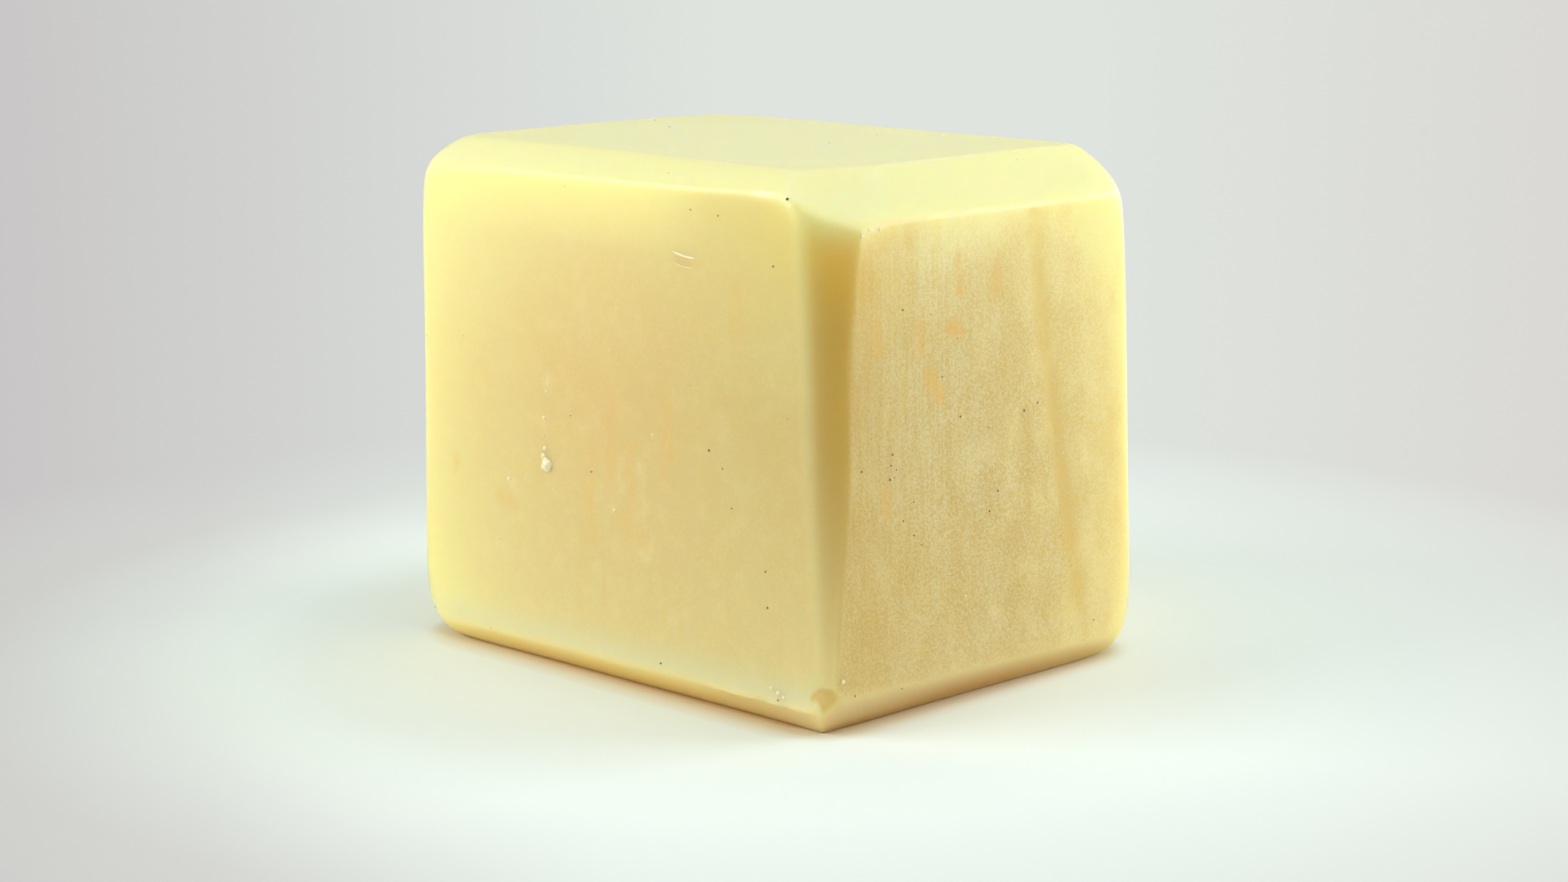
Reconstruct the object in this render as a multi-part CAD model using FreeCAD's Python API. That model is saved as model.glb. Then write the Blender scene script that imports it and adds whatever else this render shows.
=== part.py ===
import FreeCAD, Part
import math
import os

# A hand-cut bar of home-made soap, one solid piece, in millimetres.
# The bar stands on its base and the origin is the middle of the base outline. X runs along the wide
# smooth face, from the plain end to the frosted end, and Y runs from the smooth face to the back.
# Three of its sides lean a little, as a hand-held blade left them, and every edge was planed to a
# flat facet, which on the front edges is wider at one end than at the other.

# The block at its base, before its edges were planed
length = 60.0
depth = 48.0
height = 52.0

# How far each leaning side comes in from the base to the top
smooth_lean = 0.5
frosted_lean = 1.8
back_lean = 1.6

# Facets round the top. A drop is measured down the side and an inset across the top.
# Where a facet tapers, its second drop is the one at the far end of the edge.
smooth_top_drop = 2.9
smooth_top_inset = 5.0
smooth_top_drop_at_corner = 1.7
frosted_top_drop = 5.0
frosted_top_inset = 5.0
frosted_top_drop_at_back = 4.4
end_top_drop = 3.0
end_top_inset = 3.0
back_top_drop = 3.4
back_top_inset = 3.6

# Facets round the base. A rise is measured up the side and an inset across the base.
smooth_base_rise = 2.0
smooth_base_inset = 1.6
smooth_base_rise_at_corner = 2.6
frosted_base_rise = 4.0
frosted_base_inset = 2.9
frosted_base_rise_at_back = 2.0
end_base_rise = 3.2
end_base_inset = 3.4
back_base_rise = 3.0
back_base_inset = 3.2

# Facets down the four upright edges. The front one, next to both show faces, narrows to the base.
front_facet_on_smooth = 2.8
front_facet_on_frosted = 5.2
front_facet_on_frosted_at_base = 0.7
smooth_end_facet = 2.3
frosted_back_facet = 2.2
back_end_facet = 2.8

# The ridges between the flats, rubbed round by handling, one of them much more than the rest
ridge_radius = 0.5
worn_ridge_radius = 2.6

# The drag line that a nick in the blade left down the frosted face, measured from the smooth face
drag_line_radius = 2.2
drag_line_depth = 0.16
drag_line_place_at_top = 29.0
drag_line_place_at_base = 38.3

# Two short blade nicks high on the smooth face, one under the other
nick_blade_radius = 7.0
nick_width = 0.35
nick_depth = 0.22
nick_from_frosted_face = 19.8
nick_below_top = 8.8
nick_spacing = 0.9
nick_slope_degrees = 11.0

# A crumb of soap stuck on the smooth face
crumb_radius = 0.65
crumb_proud = 0.4
crumb_from_end = 20.8
crumb_above_base = 20.7

# A chip broken out of the foot of the front edge, mostly on the smooth side
chip_radius = 0.95
chip_depth = 1.3
chip_above_base = 4.0
chip_turn_degrees = 30.0

# The lip of soap that the plane pushed over the lower ridge of the smooth face
lip_length = 13.0
lip_from_frosted_face = 3.4
lip_proud = 0.3
lip_hang = 0.5
lip_root = 0.9


def point(x, y, z):
    return FreeCAD.Vector(x, y, z)


def end_x():
    return -length / 2


def frosted_x(z):
    return length / 2 - frosted_lean * z / height


def smooth_y(z):
    return -depth / 2 + smooth_lean * z / height


def back_y(z):
    return depth / 2 - back_lean * z / height


def leaning_sides():
    """Each side that leans, as three points on its plane."""
    return [
        (point(0, smooth_y(0), 0), point(1, smooth_y(0), 0), point(0, smooth_y(height), height)),
        (point(0, back_y(0), 0), point(1, back_y(0), 0), point(0, back_y(height), height)),
        (point(frosted_x(0), 0, 0), point(frosted_x(0), 1, 0), point(frosted_x(height), 0, height)),
    ]


def top_facets():
    """Each facet round the top, as three points on its plane."""
    smooth_z = height - smooth_top_drop
    corner_z = height - smooth_top_drop_at_corner
    frosted_z = height - frosted_top_drop
    frosted_back_z = height - frosted_top_drop_at_back
    end_z = height - end_top_drop
    back_z = height - back_top_drop
    return [
        (
            point(end_x(), smooth_y(smooth_z), smooth_z),
            point(frosted_x(corner_z), smooth_y(corner_z), corner_z),
            point(end_x(), smooth_y(height) + smooth_top_inset, height),
        ),
        (
            point(frosted_x(frosted_z), smooth_y(frosted_z), frosted_z),
            point(frosted_x(frosted_back_z), back_y(frosted_back_z), frosted_back_z),
            point(frosted_x(height) - frosted_top_inset, smooth_y(height), height),
        ),
        (
            point(end_x(), 0, end_z),
            point(end_x(), 1, end_z),
            point(end_x() + end_top_inset, 0, height),
        ),
        (
            point(0, back_y(back_z), back_z),
            point(1, back_y(back_z), back_z),
            point(0, back_y(height) - back_top_inset, height),
        ),
    ]


def base_facets():
    """Each facet round the base, as three points on its plane."""
    corner_z = smooth_base_rise_at_corner
    frosted_back_z = frosted_base_rise_at_back
    return [
        (
            point(end_x(), smooth_y(smooth_base_rise), smooth_base_rise),
            point(frosted_x(corner_z), smooth_y(corner_z), corner_z),
            point(end_x(), smooth_y(0) + smooth_base_inset, 0),
        ),
        (
            point(frosted_x(frosted_base_rise), smooth_y(frosted_base_rise), frosted_base_rise),
            point(frosted_x(frosted_back_z), back_y(frosted_back_z), frosted_back_z),
            point(frosted_x(0) - frosted_base_inset, smooth_y(0), 0),
        ),
        (
            point(end_x(), 0, end_base_rise),
            point(end_x(), 1, end_base_rise),
            point(end_x() + end_base_inset, 0, 0),
        ),
        (
            point(0, back_y(back_base_rise), back_base_rise),
            point(1, back_y(back_base_rise), back_base_rise),
            point(0, back_y(0) - back_base_inset, 0),
        ),
    ]


def front_facet():
    """The facet down the upright edge between the two show faces."""
    return (
        point(frosted_x(height) - front_facet_on_smooth, smooth_y(height), height),
        point(frosted_x(height), smooth_y(height) + front_facet_on_frosted, height),
        point(frosted_x(0), smooth_y(0) + front_facet_on_frosted_at_base, 0),
    )


def other_upright_facets():
    """The facets down the other three upright edges, each of one width all the way."""
    return [
        (
            point(end_x() + smooth_end_facet, smooth_y(0), 0),
            point(end_x(), smooth_y(0) + smooth_end_facet, 0),
            point(end_x() + smooth_end_facet, smooth_y(height), height),
        ),
        (
            point(frosted_x(0) - frosted_back_facet, back_y(0), 0),
            point(frosted_x(0), back_y(0) - frosted_back_facet, 0),
            point(frosted_x(height) - frosted_back_facet, back_y(height), height),
        ),
        (
            point(end_x() + back_end_facet, back_y(0), 0),
            point(end_x(), back_y(0) - back_end_facet, 0),
            point(end_x() + back_end_facet, back_y(height), height),
        ),
    ]


def plane_off(block, a, b, c):
    """Planes the block down to the plane through three points, and keeps the side with its middle."""
    normal = (b - a).cross(c - a).normalize()
    if normal.dot(a - point(0, 0, height / 2)) < 0:
        normal = -normal
    reach = 4 * (length + depth + height)
    waste = Part.makeBox(reach, reach, reach, point(-reach / 2, -reach / 2, 0))
    waste.Placement = FreeCAD.Placement(a, FreeCAD.Rotation(point(0, 0, 1), normal))
    return block.cut(waste)


def planed_block():
    """The block with its leaning sides and all twelve edges planed."""
    block = Part.makeBox(length, depth, height, point(-length / 2, -depth / 2, 0))
    for flat in leaning_sides() + top_facets() + base_facets() + [front_facet()] + other_upright_facets():
        block = plane_off(block, *flat)
    return block


def lies_on(edge, a, b, c):
    """Whether both ends of an edge lie on the plane through three points."""
    normal = (b - a).cross(c - a).normalize()
    return all(abs(normal.dot(vertex.Point - a)) < 1e-6 for vertex in edge.Vertexes)


def soften(block):
    """Rounds the worn ridge between the smooth face and the front facet, then every other ridge."""
    smooth_side = leaning_sides()[0]
    worn = [edge for edge in block.Edges if lies_on(edge, *smooth_side) and lies_on(edge, *front_facet())]
    block = block.makeFillet(worn_ridge_radius, worn)
    return block.makeFillet(ridge_radius, block.Edges)


def drag_line():
    """The round groove down the frosted face, run out past the top and the base."""
    out = drag_line_radius - drag_line_depth
    top = point(frosted_x(height) + out, smooth_y(height) + drag_line_place_at_top, height)
    base = point(frosted_x(0) + out, smooth_y(0) + drag_line_place_at_base, 0)
    run = top - base
    return Part.makeCylinder(drag_line_radius, 2 * run.Length, base - run / 2, run)


def nick(z):
    """A nick at one height on the smooth face, the shape that the rim of a thin round blade cuts."""
    slope = math.radians(nick_slope_degrees)
    across = point(math.sin(slope), 0, math.cos(slope))
    x = frosted_x(z) - nick_from_frosted_face
    centre = point(x, smooth_y(z) - nick_blade_radius + nick_depth, z)
    return Part.makeCylinder(nick_blade_radius, nick_width, centre - across * (nick_width / 2), across)


def crumb():
    z = crumb_above_base
    centre = point(end_x() + crumb_from_end, smooth_y(z) - crumb_proud + crumb_radius, z)
    return Part.makeSphere(crumb_radius, centre)


def chip():
    """The waste of the chip, a short round bar laid level across the front edge."""
    turn = math.radians(chip_turn_degrees)
    outwards = point(math.sin(turn), -math.cos(turn), 0)
    along = point(math.cos(turn), math.sin(turn), 0)
    z = chip_above_base
    middle = point(frosted_x(z), smooth_y(z), z) + outwards * (chip_radius - chip_depth)
    half = chip_depth / math.sin(turn) + chip_radius
    return Part.makeCylinder(chip_radius, 2 * half, middle - along * half, along)


def lip_section(x):
    """The lip's three-cornered section: flush above the ridge, hanging proud below it, rooted inside."""
    share = (x - end_x()) / length
    z = smooth_base_rise + (smooth_base_rise_at_corner - smooth_base_rise) * share
    above = point(x, smooth_y(z + lip_root), z + lip_root)
    proud = point(x, smooth_y(z) - lip_proud, z - lip_hang)
    root = point(x, smooth_y(z) + lip_root, z)
    return Part.makePolygon([above, proud, root, above])


def lip():
    near = frosted_x(0) - lip_from_frosted_face
    return Part.makeLoft([lip_section(near - lip_length), lip_section(near)], True, True)


def soap_bar():
    nick_z = height - nick_below_top
    bar = soften(planed_block())
    bar = bar.fuse([crumb(), lip()])
    bar = bar.cut([drag_line(), nick(nick_z), nick(nick_z - nick_spacing), chip()])
    return bar.removeSplitter()


os.makedirs("parts", exist_ok=True)
soap_bar().exportStep("parts/soap_bar.step")
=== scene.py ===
import math

import bmesh
import bpy
import numpy as np
from mathutils import Matrix, Vector
from mathutils.bvhtree import BVHTree


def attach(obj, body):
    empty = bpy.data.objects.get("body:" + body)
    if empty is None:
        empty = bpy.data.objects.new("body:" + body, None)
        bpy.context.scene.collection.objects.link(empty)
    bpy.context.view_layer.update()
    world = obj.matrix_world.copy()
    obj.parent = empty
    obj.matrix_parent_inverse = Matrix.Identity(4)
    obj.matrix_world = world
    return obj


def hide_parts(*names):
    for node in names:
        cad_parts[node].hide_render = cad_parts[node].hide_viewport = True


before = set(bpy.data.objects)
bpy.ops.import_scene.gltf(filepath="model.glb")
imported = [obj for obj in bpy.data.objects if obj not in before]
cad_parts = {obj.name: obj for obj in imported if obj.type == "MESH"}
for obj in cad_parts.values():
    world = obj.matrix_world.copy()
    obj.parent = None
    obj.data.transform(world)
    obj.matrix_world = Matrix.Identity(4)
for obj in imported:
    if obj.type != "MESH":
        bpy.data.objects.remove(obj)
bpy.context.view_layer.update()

# The camera
# It stands about a third of a metre from the bar and a little above it, and looks at the front edge,
# so that the smooth face falls away to the left and the frosted face to the right.
mm = 0.001
photo_width = 1885
focal_pixels = 3580.6
sensor_width = 36.0
camera_azimuth = math.radians(43.603)
camera_elevation = math.radians(11.122)
camera_roll = math.radians(0.236)
camera_distance = 306.5 * mm
camera_target = Vector((1.05, 0.0, 21.13)) * mm
nearest_seen = 10 * mm

level_right = Vector((math.cos(camera_azimuth), math.sin(camera_azimuth), 0.0))
towards_camera = Vector((
    math.sin(camera_azimuth) * math.cos(camera_elevation),
    -math.cos(camera_azimuth) * math.cos(camera_elevation),
    math.sin(camera_elevation),
))
level_up = towards_camera.cross(level_right)
camera_right = level_right * math.cos(camera_roll) + level_up * math.sin(camera_roll)
camera_up = level_up * math.cos(camera_roll) - level_right * math.sin(camera_roll)
camera_data = bpy.data.cameras.new("camera")
camera_data.sensor_width = sensor_width
camera_data.lens = focal_pixels / photo_width * sensor_width
camera_data.clip_start = nearest_seen
camera = bpy.data.objects.new("camera", camera_data)
camera_turn = Matrix((camera_right, camera_up, towards_camera)).transposed().to_4x4()
camera.matrix_world = Matrix.Translation(camera_target + towards_camera * camera_distance) @ camera_turn
bpy.context.scene.collection.objects.link(camera)
bpy.context.scene.camera = camera

# The block of soap
# Home-made soap, cut from a loaf with a hand-held blade, so three of its sides lean a little. Every
# edge was planed to a flat facet, and then rubbed round in the hand, one front ridge most of all.
length = 60.0
depth = 48.0
height = 52.0
smooth_lean = 0.5
frosted_lean = 1.8
back_lean = 1.6
smooth_top_drop = 2.9
smooth_top_drop_at_corner = 1.7
smooth_top_inset = 5.0
frosted_top_drop = 5.0
frosted_top_drop_at_back = 4.4
frosted_top_inset = 5.0
end_top_drop = 2.5
end_top_inset = 2.6
back_top_drop = 2.7
back_top_inset = 2.9
smooth_base_rise = 2.0
smooth_base_rise_at_corner = 2.6
smooth_base_inset = 1.6
frosted_base_rise = 4.0
frosted_base_rise_at_back = 2.0
frosted_base_inset = 2.9
end_base_rise = 3.2
end_base_inset = 3.4
back_base_rise = 3.0
back_base_inset = 3.2
front_facet_on_smooth = 2.8
front_facet_on_frosted = 5.2
front_facet_on_frosted_at_base = 0.7
smooth_end_facet = 2.3
frosted_back_facet = 2.2
back_end_facet = 2.8
rubbed_corner_points = ((26.0, -23.5, 48.4), (28.4, -19.3, 47.1), (22.0, -21.0, height))
front_corner_shares = (0.15, 0.7, 0.15)


def frosted_x(z):
    """Where the frosted face stands at a height, along the bar."""
    return length / 2 - frosted_lean * z / height


def smooth_y(z):
    """Where the smooth face stands at a height, across the bar."""
    return -depth / 2 + smooth_lean * z / height


def back_y(z):
    """Where the back stands at a height, across the bar."""
    return depth / 2 - back_lean * z / height


end_x = -length / 2
middle = np.array((0.0, 0.0, height / 2))
along_x = np.array((1.0, 0.0, 0.0))
along_y = np.array((0.0, 1.0, 0.0))


def plane(a, b, c):
    """The outward unit normal of the plane through three points, and its distance from the origin."""
    normal = np.cross(np.subtract(b, a), np.subtract(c, a))
    normal = normal / np.linalg.norm(normal)
    if normal @ (a - middle) < 0:
        normal = -normal
    return normal, normal @ a


def level_plane(a, along, b):
    """The plane through two points that is level along one axis."""
    return plane(a, np.add(a, along), b)


flats = {
    "end": level_plane((end_x, 0, 0), along_y, (end_x, 0, height)),
    "frosted": level_plane((frosted_x(0), 0, 0), along_y, (frosted_x(height), 0, height)),
    "smooth": level_plane((0, smooth_y(0), 0), along_x, (0, smooth_y(height), height)),
    "back": level_plane((0, back_y(0), 0), along_x, (0, back_y(height), height)),
    "base": level_plane((0, 0, 0), along_x, (0, 1, 0)),
    "top": level_plane((0, 0, height), along_x, (0, 1, height)),
}
smooth_z = height - smooth_top_drop
smooth_corner_z = height - smooth_top_drop_at_corner
frosted_z = height - frosted_top_drop
frosted_back_z = height - frosted_top_drop_at_back
facets = {
    ("smooth", "top"): plane(
        (end_x, smooth_y(smooth_z), smooth_z),
        (frosted_x(smooth_corner_z), smooth_y(smooth_corner_z), smooth_corner_z),
        (end_x, smooth_y(height) + smooth_top_inset, height),
    ),
    ("frosted", "top"): plane(
        (frosted_x(frosted_z), smooth_y(frosted_z), frosted_z),
        (frosted_x(frosted_back_z), back_y(frosted_back_z), frosted_back_z),
        (frosted_x(height) - frosted_top_inset, smooth_y(height), height),
    ),
    ("end", "top"): level_plane(
        (end_x, 0, height - end_top_drop), along_y, (end_x + end_top_inset, 0, height)
    ),
    ("back", "top"): level_plane(
        (0, back_y(height - back_top_drop), height - back_top_drop),
        along_x,
        (0, back_y(height) - back_top_inset, height),
    ),
    ("smooth", "base"): plane(
        (end_x, smooth_y(smooth_base_rise), smooth_base_rise),
        (frosted_x(0), smooth_y(smooth_base_rise_at_corner), smooth_base_rise_at_corner),
        (end_x, smooth_y(0) + smooth_base_inset, 0),
    ),
    ("frosted", "base"): plane(
        (frosted_x(frosted_base_rise), smooth_y(0), frosted_base_rise),
        (frosted_x(frosted_base_rise_at_back), back_y(0), frosted_base_rise_at_back),
        (frosted_x(0) - frosted_base_inset, smooth_y(0), 0),
    ),
    ("end", "base"): level_plane((end_x, 0, end_base_rise), along_y, (end_x + end_base_inset, 0, 0)),
    ("back", "base"): level_plane(
        (0, back_y(back_base_rise), back_base_rise), along_x, (0, back_y(0) - back_base_inset, 0)
    ),
    ("smooth", "frosted"): plane(
        (frosted_x(height) - front_facet_on_smooth, smooth_y(height), height),
        (frosted_x(height), smooth_y(height) + front_facet_on_frosted, height),
        (frosted_x(0), smooth_y(0) + front_facet_on_frosted_at_base, 0),
    ),
    ("smooth", "end"): plane(
        (end_x + smooth_end_facet, smooth_y(0), 0),
        (end_x, smooth_y(0) + smooth_end_facet, 0),
        (end_x + smooth_end_facet, smooth_y(height), height),
    ),
    ("back", "frosted"): plane(
        (frosted_x(0) - frosted_back_facet, back_y(0), 0),
        (frosted_x(0), back_y(0) - frosted_back_facet, 0),
        (frosted_x(height) - frosted_back_facet, back_y(height), height),
    ),
    ("back", "end"): plane(
        (end_x + back_end_facet, back_y(0), 0),
        (end_x, back_y(0) - back_end_facet, 0),
        (end_x + back_end_facet, back_y(height), height),
    ),
}
front = ("smooth", "frosted")
planes = {**flats, **facets, "rubbed_corner": plane(*rubbed_corner_points)}
order = list(planes)
normals = np.array([planes[name][0] for name in order])
offsets = np.array([planes[name][1] for name in order])
opposite_flats = {"x": ("end", "frosted"), "y": ("smooth", "back"), "z": ("base", "top")}


def facet_key(a, b):
    """The name of the facet between two flats, in whichever order they come."""
    return (a, b) if (a, b) in facets else (b, a)


def meeting_point(*names):
    """The point where three planes meet."""
    rows = [order.index(name) for name in names]
    return np.linalg.solve(normals[rows], offsets[rows])


def corner_points(x, y, z):
    """One corner of the bar: the point where its three facets meet, and the corner of each flat."""
    outer = meeting_point(facet_key(x, y), facet_key(y, z), facet_key(x, z))
    inner = {
        x: meeting_point(x, facet_key(x, y), facet_key(x, z)),
        y: meeting_point(y, facet_key(x, y), facet_key(y, z)),
        z: meeting_point(z, facet_key(x, z), facet_key(y, z)),
    }
    if (x, y) == ("frosted", "smooth"):
        # The wide frosted facets cut off the smooth face's corners and meet it along a short edge.
        inner[y] = meeting_point(y, (y, z), (x, z))
        outer = sum(share * inner[flat] for share, flat in zip(front_corner_shares, (x, y, z)))
    return outer, inner


corners = {
    frozenset((x, y, z)): corner_points(x, y, z)
    for x in opposite_flats["x"]
    for y in opposite_flats["y"]
    for z in opposite_flats["z"]
}

# The skin of the block
# A mesh whose lines follow the ridges, crowded near them. Each point is then drawn in along its ray
# from the middle to where the planes, blended over a small distance, give ridges their real radius.
cells_along = {"x": 124, "y": 100, "z": 108}
cells_across_facet = 6
edge_crowding = 0.35
facet_crowding = 1.25
weld_distance = 0.001
ridge_blend = 0.11
crisp_blend = 0.05
crisp_reach = 1.2
worn_ridge_width = 1.75
corner_blend = 0.62
corner_reach = 4.6
rubbed_corner_place = (25.0, -22.5, 49.8)
rubbed_corner_blend = 0.22
rubbed_corner_reach = 4.5
swell_length = 30.0
flat_swell = 0.05
facet_swell = 0.11
swell_waves = 5
swell_spread = (0.6, 1.4)
settling_rounds = 12


def crowded(cells):
    """Steps from 0 to 1 that are closer together near both ends, where the ridges are."""
    t = np.linspace(0.0, 1.0, cells + 1)
    return t - edge_crowding * np.sin(2 * math.pi * t) / (2 * math.pi)


def quad_patch(a, b, c, d, steps_u, steps_v):
    """A grid of points between four corners, and its faces."""
    u = steps_u[:, None, None]
    v = steps_v[None, :, None]
    points = (a * (1 - u) + b * u) * (1 - v) + (d * (1 - u) + c * u) * v
    index = np.arange(len(steps_u) * len(steps_v)).reshape(len(steps_u), len(steps_v))
    faces = np.stack([index[:-1, :-1], index[1:, :-1], index[1:, 1:], index[:-1, 1:]], axis=-1)
    return points.reshape(-1, 3), faces.reshape(-1, 4)


steps = {axis: crowded(cells) for axis, cells in cells_along.items()}
steps_across = np.linspace(0.0, 1.0, cells_across_facet + 1) ** facet_crowding
patches = []
for axis, pair in opposite_flats.items():
    b, c = [other for other in opposite_flats if other != axis]
    for flat in pair:
        inner = {}
        outer = {}
        for i, flat_b in enumerate(opposite_flats[b]):
            for j, flat_c in enumerate(opposite_flats[c]):
                outer[i, j], flat_corners = corners[frozenset((flat, flat_b, flat_c))]
                inner[i, j] = flat_corners[flat]
        patches.append(quad_patch(inner[0, 0], inner[1, 0], inner[1, 1], inner[0, 1], steps[b], steps[c]))
        for j in (0, 1):
            facet_half = inner[0, j], inner[1, j], outer[1, j], outer[0, j]
            patches.append(quad_patch(*facet_half, steps[b], steps_across))
        for i in (0, 1):
            facet_half = inner[i, 0], inner[i, 1], outer[i, 1], outer[i, 0]
            patches.append(quad_patch(*facet_half, steps[c], steps_across))

skin_points = []
skin_faces = []
for points, faces in patches:
    skin_faces.extend((faces + len(skin_points)).tolist())
    skin_points.extend(points.tolist())
soap_mesh = bpy.data.meshes.new("soap")
soap_mesh.from_pydata(skin_points, [], skin_faces)
weld = bmesh.new()
weld.from_mesh(soap_mesh)
bmesh.ops.remove_doubles(weld, verts=weld.verts, dist=weld_distance)
bmesh.ops.recalc_face_normals(weld, faces=weld.faces)
weld.to_mesh(soap_mesh)
weld.free()
sharp = np.empty(len(soap_mesh.vertices) * 3)
soap_mesh.vertices.foreach_get("co", sharp)
sharp = sharp.reshape(-1, 3)


def wave(points, wavelength, seed):
    """A slow random swell of about -1 to 1, the sum of a few sine waves in random directions."""
    random = np.random.default_rng(seed)
    total = np.zeros(len(points))
    for _ in range(swell_waves):
        direction = random.normal(size=3)
        direction *= 2 * math.pi / wavelength / np.linalg.norm(direction) * random.uniform(*swell_spread)
        total += np.sin(points @ direction + random.uniform(0, 2 * math.pi))
    return total * 2 / swell_waves


def near_line(points, a, b, reach):
    """1 on the line from a to b, falling smoothly to 0 over about twice the reach."""
    along = np.subtract(b, a)
    t = np.clip((points - a) @ along / (along @ along), 0.0, 1.0)
    gap = np.linalg.norm(points - (a + t[:, None] * along), axis=1)
    return np.exp(-(gap / reach) ** 2)


def near_point(points, place, reach):
    """1 at the place, falling smoothly to 0 over about twice the reach."""
    return np.exp(-(np.linalg.norm(points - place, axis=1) / reach) ** 2)


swell = np.stack([
    np.zeros(len(sharp)) if name == "base"
    else wave(sharp, swell_length, seed) * (flat_swell if name in flats else facet_swell)
    for seed, name in enumerate(order)
], axis=1)
worn_pair = [order.index("smooth"), order.index(front)]


def blend_planes(points, blend):
    """How far points lie outside the rounded block, and how much each plane counts there."""
    level = points @ normals.T - offsets - swell
    # The worn ridge is rounded much more than the rest, as one wide curve between its two planes.
    a, b = level[:, worn_pair].T
    gap = np.abs(a - b) / worn_ridge_width
    rounded = np.maximum(a, b) + worn_ridge_width / 4 * np.clip(1 - gap, 0, None) ** 2
    share = np.clip(0.5 + (a - b) / (2 * worn_ridge_width), 0.0, 1.0)
    level[:, worn_pair[0]] = rounded
    level[:, worn_pair[1]] = -np.inf
    level /= blend[:, None]
    highest = level.max(axis=1, keepdims=True)
    weight = np.exp(level - highest)
    total = weight.sum(axis=1, keepdims=True)
    outside = blend * (np.log(total) + highest)[:, 0]
    weight /= total
    both = weight[:, worn_pair[0]].copy()
    weight[:, worn_pair[0]] = both * share
    weight[:, worn_pair[1]] = both * (1 - share)
    return outside, weight


crisp_ridge = (
    meeting_point("frosted", front, ("frosted", "base")),
    meeting_point("frosted", front, ("frosted", "top")),
)
blend = np.full(len(sharp), ridge_blend)
blend -= (ridge_blend - crisp_blend) * near_line(sharp, *crisp_ridge, crisp_reach)
for names, (outer, inner) in corners.items():
    if not names >= set(front):
        blend += corner_blend * near_point(sharp, outer, corner_reach)
blend += rubbed_corner_blend * near_point(sharp, rubbed_corner_place, rubbed_corner_reach)

ray = sharp - middle
scale = np.ones(len(sharp))
for _ in range(settling_rounds):
    outside, weight = blend_planes(middle + ray * scale[:, None], blend)
    scale -= outside / (weight * (ray @ normals.T)).sum(axis=1)
skin = middle + ray * scale[:, None]

# The marks on the block
# Cured soap keeps what touched it: the line that a nick in the blade dragged down the frosted face,
# a chip out of the foot of the front edge, and a lip that the plane pushed over the lower ridge.
mask_blend = 0.22
soft_place = (26.8, -21.8, 47.8)
soft_reach = 5.0
soft_blend = 0.5
crisp_shade_reach = 2.2
least_beside_frosted = 0.5
worn_ridge_share = 0.1
drag_line_at_top = 4.5
drag_line_at_base = 14.3
drag_wander = 0.35
drag_wander_length = 24.0
drag_seed = 31
drag_deepens_from = 2.0
drag_deepens_over = 8.0
drag_at_foot = 0.35
drag_reach = 1.25
drag_depth = 0.05
drag_bank_offset = 1.9
drag_bank_reach = 0.8
drag_bank_height = 0.02
chip_place = np.array((28.75, -23.25, 3.95))
chip_half_width = 1.45
chip_half_height = 1.2
chip_depth = 0.16
chip_edge = 0.3
chip_inwards = np.array((-0.5, 0.86, 0.0))
chip_sideways = np.array((0.86, 0.5, 0.0))
chip_reach = 2.5
chip_raggedness = 0.2
chip_rag_length = 1.6
chip_seed = 41
lip_from = 13.3
lip_to = 28.2
lip_reach = 0.42
lip_fade = 1.5
lip_least = 0.35
lip_rag_length = 2.6
lip_seed = 51
lip_proud = 0.2
lip_hang = 0.1
# The reach of a glow painted along the lower ridge, and the line of a glint painted on the top ridge
rim_reach = 2.2
gleam_line = np.array(((19.8, -23.5, 50.15), (21.5, -23.5, 50.1)))
gleam_reach = 0.36
# Each mark runs on a face from one place to another, and then comes its reach. A place is given by
# its distance along the face and its height.
bare_marks = (
    ("smooth", 1.6, 17.2, 2.6, 15.8, 0.9), ("smooth", 4.6, 15.8, 5.2, 14.7, 0.7),
    ("smooth", -15.8, 16.4, -14.2, 16.0, 0.9), ("smooth", -2.2, 23.0, -2.2, 14.0, 0.6),
    ("smooth", 0.6, 29.0, 0.5, 20.0, 0.6), ("smooth", 3.0, 24.0, 3.2, 15.0, 0.7),
    ("smooth", -23.0, 19.4, -22.8, 18.6, 0.7), ("smooth", 8.0, 30.0, 8.2, 22.0, 0.8),
    ("smooth", 17.5, 40.5, 17.6, 36.5, 0.8), ("smooth", 9.6, 43.1, 12.0, 42.7, 0.5),
    ("frosted", -10.8, 37.4, -10.2, 37.2, 0.7), ("frosted", -10.6, 36.6, -10.6, 34.6, 0.6),
    ("frosted", -6.2, 36.9, -5.2, 36.2, 0.8), ("frosted", -16.8, 38.2, -16.6, 35.4, 0.5),
    ("frosted", -5.0, 43.5, -5.0, 40.0, 0.6), ("frosted", 0.8, 42.8, 0.4, 39.5, 0.6),
    ("frosted", -16.2, 22.6, -16.1, 20.2, 0.5), ("frosted", -9.4, 32.4, -8.4, 30.4, 0.9),
)
pale_marks = (
    ("smooth", 3.4, 14.4, 5.6, 13.6, 0.5), ("smooth", 5.8, 16.4, 5.9, 13.2, 0.5),
    ("smooth", 0.4, 17.6, 1.4, 17.9, 0.5), ("smooth", -8.4, 29.6, -9.0, 27.9, 0.4),
    ("smooth", -9.3, 25.9, -9.3, 21.6, 0.4), ("smooth", -14.8, 18.6, -13.6, 18.0, 0.6),
    ("smooth", 4.9, 22.6, 5.2, 18.1, 0.5), ("smooth", -12.6, 17.6, -11.4, 18.6, 0.5),
    ("smooth", 1.6, 22.6, 1.8, 19.6, 0.5), ("smooth", -4.5, 25.0, -2.0, 25.8, 0.6),
    ("frosted", -0.6, 8.4, 0.5, 7.6, 0.5), ("frosted", 0.6, 7.2, -0.2, 6.2, 0.5),
)
mark_wander = 0.3
mark_wander_length = 2.5
mark_seeds = (61, 62)
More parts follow.
